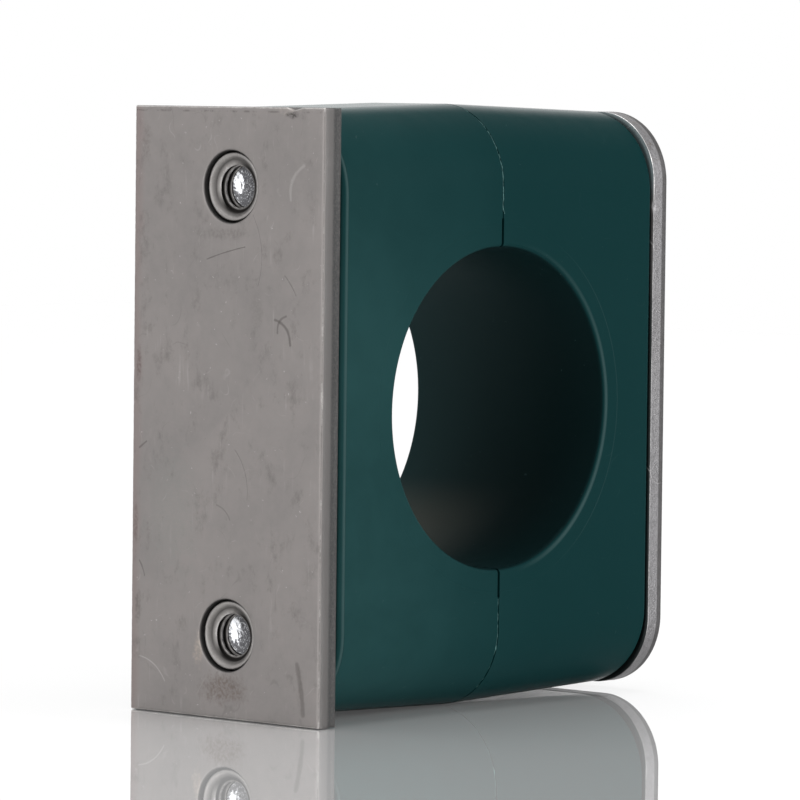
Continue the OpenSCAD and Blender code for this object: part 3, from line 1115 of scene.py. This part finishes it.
def cover_plate() -> SteelPlate:
    """Make the cover plate with its burnished side band and its outer edge rounded over.

    Returns:
        The cover plate, ready to build.
    """
    roll, top = 0.6, 3.0
    turn = [(roll * (1.0 - math.cos(math.radians(a))),
             top - roll + roll * math.sin(math.radians(a)), 0.0, 0.3)
            for a in (12, 28, 45, 62, 78, 90)]
    return SteelPlate(
        node="cover_plate", name="cover_plate_pressed", body=Body.JAW, slot="cover_plate_steel",
        corner_r=8.5 * MM, hole_r=3.4 * MM, nick_at=(-15.0 * MM, 23.6 * MM),
        nick_size=0.9 * MM, nick_inset=0.4 * MM, nick_depth=0.6 * MM,
        edge=steps((1.8, 0.0), (0.45, 0.0), (0.28, 0.02), (0.15, 0.08), (0.07, 0.15, 0.3),
                   (0.02, 0.21, 1.0, 0.1, 0.02), (0.0, 0.27, 0.7, 0.5, 0.02),
                   (0.0, 0.34, 0.0, 1.0, 0.03), (0.0, 0.9, 0.0, 1.0, 0.05),
                   (0.0, 1.3, 0.0, 1.0, 0.05), (0.0, 1.72, 0.0, 1.0, 0.04),
                   (0.0, 1.86, 0.0, 0.3, 0.02), (0.0, 2.3, 0.0, 0.3), *turn,
                   (0.8, 3.0), (1.7, 3.0)),
        rim=steps((0.9, 0.0), (0.25, 0.0), (0.08, 0.03, 0.3), (0.0, 0.15, 0.1, 0.5),
                  (0.0, 1.5, 0.0, 1.0), (0.0, 2.7, 0.0, 0.5), (0.1, 2.92), (0.3, 3.0),
                  (0.9, 3.0)))


@dataclass(frozen=True)
class MetricThread:
    """A right-hand sixty degree thread whose phase is shared by bolt and nut."""

    pitch: float = 1.0 * MM
    major_r: float = 3.0 * MM
    depth: float = 0.56 * MM
    crest: float = 0.16
    root: float = 0.24
    slices: float = 14.0

    def fall(self, x: float, angle: float) -> float:
        """Return how far below the crest the thread lies.

        Args:
            x: Place along the axis, in metres.
            angle: Angle about the axis, in radians.

        Returns:
            0 on the crest and 1 in the root.
        """
        phase = (x / self.pitch - angle / (2.0 * math.pi)) % 1.0
        off = abs(phase - 0.5) * 2.0
        return min(1.0, max(0.0, (off - self.crest) / (1.0 - self.crest - self.root)))


@dataclass(frozen=True)
class Turn:
    """One ring of a turned piece: place along the axis, radius, shape, wear with painted glint,
    and recess with painted shade.
    """

    x: float
    r: float
    shape: RingShape = RingShape.ROUND
    wear: float = 0.0
    recess: float = 0.0


@dataclass
class TurnedPiece:
    """A piece about a bolt axis, made of rings along X."""

    node: str
    name: str
    body: Body
    slot: str
    thread: MetricThread
    across_flats: float = 10.0 * MM
    points: int = 96
    chamfer: float = 0.4 * MM

    def __post_init__(self) -> None:
        """Take the axis and the ends from the frame."""
        self.low, self.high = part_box(self.node)
        self.axis_z = (self.low.z + self.high.z) / 2.0
        self.corner = self.across_flats / math.sqrt(3.0)
        self.flat = self.corner - self.chamfer / math.tan(math.radians(30.0))

    def hexagon_r(self, angle: float) -> float:
        """Return the radius of the hexagon, whose corners point along Z.

        Args:
            angle: Angle about the axis, in radians.

        Returns:
            The radius in metres.
        """
        sixth = math.pi / 3.0
        off_flat = (angle - math.pi / 2.0) % sixth - sixth / 2.0
        return self.across_flats / 2.0 / math.cos(off_flat)

    def chamfered(self, share: float, wear: float) -> Turn:
        """Return one ring of the chamfer at the far end, from the flat to the corners."""
        return Turn(self.high.x - self.chamfer * share,
                    self.flat + (self.corner - self.flat) * share, RingShape.HEXAGON, wear)

    def ring(self, skin: Skin, turn: Turn, clearance: float = 0.0) -> list[int]:
        """Add one ring to a skin.

        Args:
            skin: Mesh in the making.
            turn: The ring.
            clearance: Added to the radius of a nut's thread ring.

        Returns:
            The new points' numbers.
        """
        points, recess, wear = [], [], []
        for i in range(self.points):
            angle = 2.0 * math.pi * i / self.points
            r, deep, worn = turn.r, turn.recess, turn.wear
            if turn.shape is RingShape.HEXAGON:
                r = min(r, self.hexagon_r(angle))
            elif turn.shape is RingShape.THREAD:
                fall = self.thread.fall(turn.x, angle)
                r = min(turn.r, self.thread.major_r + clearance - self.thread.depth * fall)
                # Thread bottoms get painted shade.
                deep = max(deep, fall if clearance == 0.0 else min(1.0, 2.0 - 2.0 * fall))
                # Thread crests get a painted glint.
                worn = 1.0 if deep < 0.06 else 0.0
            points.append((turn.x, r * math.cos(angle), self.axis_z + r * math.sin(angle)))
            recess.append(deep)
            wear.append(worn)
        numbers = skin.ring(points, 0.0, 0.0)
        skin.recess[-len(recess):] = recess
        skin.wear[-len(wear):] = wear
        return numbers

    def finish(self, skin: Skin) -> Piece:
        """Turn the skin into the piece, on its body and standing for its node.

        Args:
            skin: The whole mesh.

        Returns:
            The piece.
        """
        piece = skin.make(self.name, 35.0)
        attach(piece, self.body.value)
        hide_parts(self.node)
        LOG.info("%s: %d faces", self.name, len(piece.data.polygons))
        return piece


@dataclass
class WeldNut(TurnedPiece):
    """Hexagon weld nut with a round collar that fills the plate hole."""

    collar_r: float = 4.0 * MM
    seat: float = 3.0 * MM
    land: float = 0.2 * MM
    sink: float = 0.6 * MM
    top_sink: float = 0.4 * MM
    clearance: float = 0.05 * MM

    def build(self) -> Piece:
        """Make the nut from its rings.

        Returns:
            The nut.
        """
        near, far = self.low.x, self.high.x
        bore = self.thread.major_r + self.clearance
        lip, rounded = self.collar_r - self.land, 0.33 * MM
        first = 0.17 * MM
        # The collar's rounded lip gets painted glints, and the cone below it painted shade that
        # grows towards the thread.
        turns = [Turn(near, lip, wear=0.55), Turn(near + 0.02 * MM, lip - 0.12 * MM, wear=0.5),
                 Turn(near + 0.08 * MM, lip - 0.24 * MM, wear=0.3, recess=0.1),
                 Turn(near + first, lip - rounded, recess=0.25)]
        for share, deep in ((0.25, 0.38), (0.5, 0.48), (0.75, 0.58)):
            turns.append(Turn(near + first + (self.sink - first) * share,
                              lip - rounded - (lip - rounded - bore) * share, recess=deep))
        start, stop = near + self.sink, far - self.top_sink
        count = int((stop - start) / (self.thread.pitch / self.thread.slices))
        turns += [Turn(start + (stop - start) * k / count, bore, RingShape.THREAD)
                  for k in range(count + 1)]
        turns += [Turn(far, bore + self.top_sink, wear=0.2), Turn(far, 4.2 * MM)]
        turns += [self.chamfered(k / 5.0, 0.3) for k in range(6)]
        turns += [Turn(far - 1.2 * MM, self.corner, RingShape.HEXAGON),
                  Turn(self.seat + 0.3 * MM, self.corner, RingShape.HEXAGON),
                  Turn(self.seat, self.corner, RingShape.HEXAGON, wear=0.2),
                  Turn(self.seat, 4.6 * MM), Turn(self.seat, self.collar_r),
                  Turn(self.seat - 0.3 * MM, self.collar_r),
                  # The collar's side, in the gap to the plate hole, gets painted shade, and its
                  # rounded lip painted glints.
                  Turn(near + 0.4 * MM, self.collar_r, recess=0.2),
                  Turn(near + 0.20 * MM, self.collar_r - 0.01 * MM, wear=0.3),
                  Turn(near + 0.09 * MM, self.collar_r - 0.04 * MM, wear=0.5),
                  Turn(near + 0.02 * MM, self.collar_r - 0.11 * MM, wear=0.55)]
        skin = Skin()
        rings = [self.ring(skin, turn, self.clearance) for turn in turns]
        for a, b in zip(rings, rings[1:] + rings[:1]):
            skin.band(a, b)
        return self.finish(skin)


@dataclass
class HexBolt(TurnedPiece):
    """Hexagon bolt with a rough cut tip and a thread that ends under a plain shank."""

    seat: float = 62.0 * MM
    washer_h: float = 0.3 * MM
    washer_r: float = 4.6 * MM
    tip_chamfer: float = 0.6 * MM
    tip_rings: int = 24
    thread_l: float = 18.0 * MM
    dish: float = 0.45 * MM
    relief: float = 0.035 * MM
    short: float = 0.5 * MM
    # How far the head's colour is darkened.
    head_dull: float = 0.58
    seed: float = 1.0
    # The tip's painted highlight: centre across, centre up, half width and half height, as shares
    # of the thread's radius.
    patch: tuple[float, float, float, float] = (0.53, 0.14, 0.20, 0.40)

    def dullness(self, y: float, z: float) -> float:
        """Return how much painted shade the tip face gets at a point.

        Args:
            y: Place across the tip, in metres.
            z: Place up the tip, in metres.

        Returns:
            0 in the painted highlight patch, up to 1 outside it, and less at painted glints.
        """
        r = self.thread.major_r
        away = math.hypot((y / r - self.patch[0]) / self.patch[2],
                          (z / r - self.patch[1]) / self.patch[3])
        away += 0.45 * jitter((self.seed * MM, y, z), 0.22 * MM, self.seed + 9.0)
        share = min(1.0, max(0.0, (away - 0.85) / 0.35))
        glint = jitter((self.seed * MM, y, z), 0.13 * MM, self.seed + 15.0)
        return share * min(1.0, max(0.0, 0.92 - 1.1 * glint))

    def tip(self, skin: Skin) -> list[int]:
        """Add the rough, slightly dished tip face, with painted shade round a painted highlight
        patch.

        Args:
            skin: Mesh in the making.

        Returns:
            The outermost ring of the face.
        """
        near = self.low.x + self.short
        edge = self.thread.major_r - self.tip_chamfer
        rings = []
        for k in range(1, self.tip_rings + 1):
            share = k / self.tip_rings
            fade = math.sin(math.pi * min(1.0, share * 1.02)) ** 0.5 if share < 0.98 else 0.0
            ring = []
            for i in range(self.points):
                angle = 2.0 * math.pi * i / self.points
                y, z = edge * share * math.cos(angle), edge * share * math.sin(angle)
                rough = jitter((self.seed * MM, y, z), 0.42 * MM, self.seed)
                rough += 0.7 * jitter((self.seed * MM, y, z), 0.16 * MM, self.seed + 4.0)
                x = near + self.dish * (1.0 - share ** 2) + self.relief * rough * fade
                ring.append((max(near, x), y, self.axis_z + z))
            # The tip's rings carry painted glints, strongest at the outer ring.
            rings.append(skin.ring(ring, 0.5 if k < self.tip_rings else 0.8, 0.0))
            # Painted shade over the tip face, clear in the painted highlight patch.
            skin.recess[-len(ring):] = [self.dullness(y, z - self.axis_z) for _, y, z in ring]
            if k == 1:
                skin.fan(rings[0], (near + self.dish, 0.0, self.axis_z))
        for a, b in zip(rings, rings[1:]):
            skin.band(a, b)
        return rings[-1]

    def build(self) -> Piece:
        """Make the bolt from its tip to its head.

        Returns:
            The bolt.
        """
        skin = Skin()
        near, far = self.low.x + self.short, self.high.x
        major, top = self.thread.major_r, self.seat + self.washer_h
        previous = self.tip(skin)
        fine = self.thread.pitch / self.thread.slices
        turns = [Turn(near + k * fine, min(major, major - self.tip_chamfer + k * fine),
                      RingShape.THREAD) for k in range(1, int(self.thread_l / fine) + 1)]
        end = near + self.thread_l
        turns += [Turn(end + 0.5 * MM, major), Turn(end + 1.2 * MM, major),
                  Turn(self.seat - 1.0 * MM, major), Turn(self.seat - 0.2 * MM, major),
                  Turn(self.seat, major + 0.02 * MM), Turn(self.seat, self.washer_r - 0.1 * MM),
                  Turn(self.seat + 0.05 * MM, self.washer_r, wear=0.2),
                  Turn(top, self.washer_r), Turn(top, 4.85 * MM),
                  Turn(top, self.corner, RingShape.HEXAGON, wear=0.2),
                  Turn(top + 0.12 * MM, self.corner, RingShape.HEXAGON),
                  Turn(far - 1.1 * MM, self.corner, RingShape.HEXAGON)]
        turns += [self.chamfered(k / 6.0, 0.45) for k in range(6, -1, -1)]
        turns += [Turn(far, 4.6 * MM, wear=0.1), Turn(far, 4.3 * MM),
                  Turn(far - 0.06 * MM, 4.1 * MM), Turn(far - 0.09 * MM, 3.4 * MM),
                  Turn(far - 0.09 * MM, 1.6 * MM)]
        for turn in turns:
            # The head is darkened; the shank keeps each ring's own shade amount.
            dull = self.head_dull if turn.x >= self.seat else turn.recess
            numbers = self.ring(skin, Turn(turn.x, turn.r, turn.shape, turn.wear, dull))
            skin.band(previous, numbers)
            previous = numbers
        skin.fan(previous, (far - 0.08 * MM, 0.0, self.axis_z))
        skin.recess[-1] = self.head_dull
        return self.finish(skin)


@dataclass
class MouldedHalves:
    """The two plastic halves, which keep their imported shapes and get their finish."""

    nodes: tuple[str, ...] = ("base_half", "outer_half")

    def dress(self, fx: Effects) -> None:
        """Put the moulded plastic into the halves' own slots.

        Args:
            fx: Shared effects.
        """
        for node in self.nodes:
            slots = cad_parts[node].data.materials
            material = MouldedPlastic(f"{node}_teal_plastic").build(fx)
            for index in range(len(slots)):
                slots[index] = material
            if not slots:
                slots.append(material)
            LOG.info("%s: packed shape, dressed", node)


@dataclass
class Steelwork:
    """Both plates with their finishes."""

    def build(self, fx: Effects) -> None:
        """Make and dress the plates, with the shared effects."""
        dress(weld_plate().build(), PickledSteel().build(fx))
        dress(cover_plate().build(), TumbledSteel().build(fx))


@dataclass
class Fasteners:
    """Weld nuts and bolts, in mesh with each other."""

    thread: MetricThread = MetricThread()
    # The third colour of each steel is its painted shade, for thread bottoms, hollows and the tip;
    # the fourth is the bright tone of abrasion and painted glints.
    nut_steel: TurnedSteel = TurnedSteel(
        "weld_nut_dull_steel", (0.30, 0.285, 0.275), (0.20, 0.19, 0.185), (0.020, 0.018, 0.017),
        (0.50, 0.485, 0.475), 0.42, 0.88)
    zinc: TurnedSteel = TurnedSteel(
        "bolt_bright_zinc", (0.80, 0.81, 0.83), (0.58, 0.60, 0.64), (0.16, 0.16, 0.17),
        (0.95, 0.95, 0.96), 0.20, 1.0)
    # Each level: name, body, noise seed and the tip's painted highlight patch.
    levels: tuple[tuple, ...] = (
        ("upper", Body.UPPER_BOLT, 2.3, (0.53, 0.14, 0.20, 0.40)),
        ("lower", Body.LOWER_BOLT, 7.9, (0.50, 0.14, 0.25, 0.44)))

    def build(self, fx: Effects) -> None:
        """Make and dress the nuts and the bolts.

        Args:
            fx: Shared effects.
        """
        nut_steel, zinc = self.nut_steel.build(fx), self.zinc.build(fx)
        for level, body, seed, patch in self.levels:
            dress(WeldNut(f"weld_nut_{level}", f"weld_nut_{level}_threaded", Body.BASE,
                          "nut_steel", self.thread).build(), nut_steel)
            dress(HexBolt(f"bolt_{level}", f"bolt_{level}_threaded", body, "bolt_plating",
                          self.thread, seed=seed, patch=patch).build(), zinc)


@dataclass
class Studio:
    """Pale glossy table, soft lights and the camera."""

    floor_z: float
    floor_half: float = 0.9
    eye: Triple = (-477.948 * MM, -447.682 * MM, 37.491 * MM)
    right: Triple = (0.661625, -0.749749, 0.011360)
    up: Triple = (0.033577, 0.044759, 0.998433)
    back: Triple = (-0.749083, -0.660207, 0.054788)
    lens: float = 255.159
    sensor: float = 36.0
    diffuse_sky: float = 0.34
    floor_glow: float = 0.055
    lamps: tuple[tuple, ...] = (
        ("front", (0.42, -0.85, 0.30), (0.02, 0.0, 0.0), 0.5, 5.0),
        ("side", (-1.0, 0.05, 0.25), (0.0, 0.0, 0.0), 0.6, 2.0),
        ("top", (0.05, 0.10, 0.95), (0.03, 0.0, 0.0), 0.9, 5.0))

    def floor(self) -> None:
        """Lay the glossy white table under the clamp."""
        h, z = self.floor_half, self.floor_z
        mesh = bpy.data.meshes.new("table")
        mesh.from_pydata([(-h, -h, z), (h, -h, z), (h, h, z), (-h, h, z)], [], [(0, 1, 2, 3)])
        table = put_in_scene(bpy.data.objects.new("table", mesh))
        g = Finish("table_gloss_white")
        tone = g.tint((0.99, 0.99, 0.99), (1.0, 1.0, 1.0), g.noise(g.spot, 3.0, 2.0))
        rough = g.plus(0.006, g.mul(g.noise(g.spot, 40.0, 3.0), 0.01))
        seen = g.add("LightPath").outputs["Is Camera Ray"]
        g.fill(Base_Color=tone, Roughness=rough, IOR=1.6, Metallic=0.5,
               Emission_Color=(1.0, 1.0, 1.0), Emission_Strength=g.mul(seen, self.floor_glow))
        mesh.materials.append(g.material)
        table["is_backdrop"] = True

    def sky(self) -> None:
        """Light the scene softly and show white to the eye and to gloss."""
        world = bpy.data.worlds.new("studio")
        bpy.context.scene.world = world
        world.use_nodes = True
        world.node_tree.nodes.clear()
        g = Graph(world.node_tree)
        path = g.add("LightPath").outputs
        shown = g.math("MAXIMUM", path["Is Camera Ray"], path["Is Glossy Ray"])
        shown = g.math("MAXIMUM", shown, path["Is Transmission Ray"])
        soft, white = (g.add("Background", {"Color": (1.0, 1.0, 1.0), "Strength": strength})
                       for strength in (self.diffuse_sky, 1.0))
        mix = g.add("MixShader", {0: shown, 1: soft.outputs[0], 2: white.outputs[0]})
        g.feed(g.add("OutputWorld").inputs["Surface"], mix.outputs[0])

    def lamp(self, name: str, place: Triple, aim: Triple, size: float, power: float) -> None:
        """Add one soft square lamp.

        Args:
            name: Name of the lamp.
            place: Where it hangs, in metres.
            aim: What it points at, in metres.
            size: Side of the square, in metres.
            power: Power in watts.
        """
        data = bpy.data.lights.new(name, "AREA")
        data.shape = "SQUARE"
        data.size = size
        data.energy = power
        lamp = put_in_scene(bpy.data.objects.new(name, data))
        lamp.location = place
        lamp.rotation_euler = (Vector(aim) - Vector(place)).to_track_quat("-Z", "Y").to_euler()

    def camera(self) -> None:
        """Stand the camera where the picture was taken."""
        data = bpy.data.cameras.new("camera")
        data.sensor_width = self.sensor
        data.lens = self.lens
        data.clip_start = 0.01
        data.clip_end = 60.0
        camera = put_in_scene(bpy.data.objects.new("camera", data))
        turn = Matrix((self.right, self.up, self.back)).transposed().to_4x4()
        camera.matrix_world = Matrix.Translation(self.eye) @ turn
        bpy.context.scene.camera = camera

    def build(self) -> None:
        """Set up the table, the light and the camera."""
        self.floor()
        self.sky()
        for lamp in self.lamps:
            self.lamp(*lamp)
        self.camera()
        bpy.context.scene.view_settings.view_transform = "Standard"
        LOG.info("studio ready")


def main() -> None:
    """Build every sub-assembly of the clamp in order."""
    logging.basicConfig(level=logging.INFO, format="%(name)s: %(message)s")
    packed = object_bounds()
    fx = Effects()
    Steelwork().build(fx)
    Fasteners().build(fx)
    MouldedHalves().dress(fx)
    SeamFlash().build(fx)
    Studio(floor_z=packed[0][2]).build()


if __name__ == "__main__":
    main()
